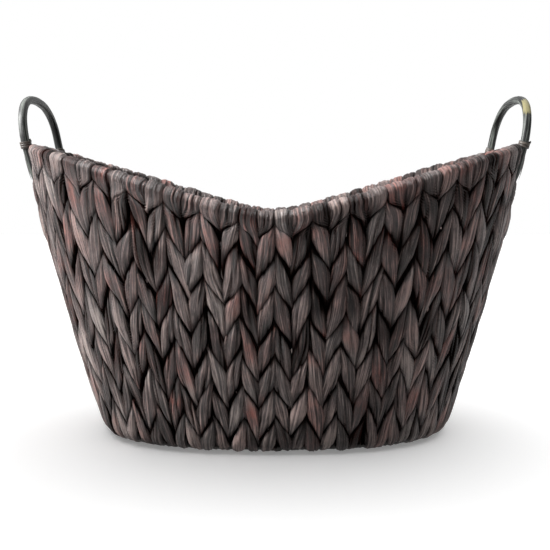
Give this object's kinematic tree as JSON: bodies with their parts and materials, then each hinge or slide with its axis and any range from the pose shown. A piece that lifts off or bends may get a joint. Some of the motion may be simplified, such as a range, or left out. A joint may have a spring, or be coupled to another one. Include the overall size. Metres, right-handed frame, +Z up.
{
  "type": "wicker log basket",
  "caption": "Boat-shaped twined water-hyacinth log basket on a hidden wire frame, with a dipped rim and two fixed cane hoop handles at the ends.",
  "frame": {"origin": "on the floor, at the middle of the base", "axes": "+Z up, X along the length with a handle at each end, -Y towards the front"},
  "size_m": [0.5872, 0.41, 0.4],
  "materials": {
    "water_hyacinth": "dark stained twined water hyacinth, satin",
    "frame_wire": "black painted steel wire",
    "cane_handle": "dark stained cane with worn streaks",
    "lashing": "split stalk strand, matt"
  },
  "bodies": {
    "root": {"column_01": "water_hyacinth", "column_02": "water_hyacinth", "column_03": "water_hyacinth", "column_04": "water_hyacinth", "column_05": "water_hyacinth", "column_06": "water_hyacinth", "column_07": "water_hyacinth", "column_08": "water_hyacinth", "column_09": "water_hyacinth", "column_10": "water_hyacinth", "column_11": "water_hyacinth", "column_12": "water_hyacinth", "column_13": "water_hyacinth", "column_14": "water_hyacinth", "column_15": "water_hyacinth", "column_16": "water_hyacinth", "column_17": "water_hyacinth", "column_18": "water_hyacinth", "column_19": "water_hyacinth", "column_20": "water_hyacinth", "column_21": "water_hyacinth", "column_22": "water_hyacinth", "column_23": "water_hyacinth", "column_24": "water_hyacinth", "column_25": "water_hyacinth", "column_26": "water_hyacinth", "column_27": "water_hyacinth", "column_28": "water_hyacinth", "column_29": "water_hyacinth", "column_30": "water_hyacinth", "column_31": "water_hyacinth", "column_32": "water_hyacinth", "column_33": "water_hyacinth", "column_34": "water_hyacinth", "column_35": "water_hyacinth", "column_36": "water_hyacinth", "column_37": "water_hyacinth", "column_38": "water_hyacinth", "column_39": "water_hyacinth", "column_40": "water_hyacinth", "woven_floor": "water_hyacinth", "rim_wire": "frame_wire", "base_ring_wire": "frame_wire", "ring_wire_1": "frame_wire", "ring_wire_2": "frame_wire", "ring_wire_3": "frame_wire", "ring_wire_4": "frame_wire", "ring_wire_5": "frame_wire", "ring_wire_6": "frame_wire", "upright_wires_front": "frame_wire", "upright_wires_right": "frame_wire", "upright_wires_back": "frame_wire", "upright_wires_left": "frame_wire", "floor_long_wires": "frame_wire", "floor_cross_wires": "frame_wire", "handle_right": "cane_handle", "handle_left": "cane_handle", "lashings_right": "lashing", "lashings_left": "lashing"}
  },
  "joints": []
}
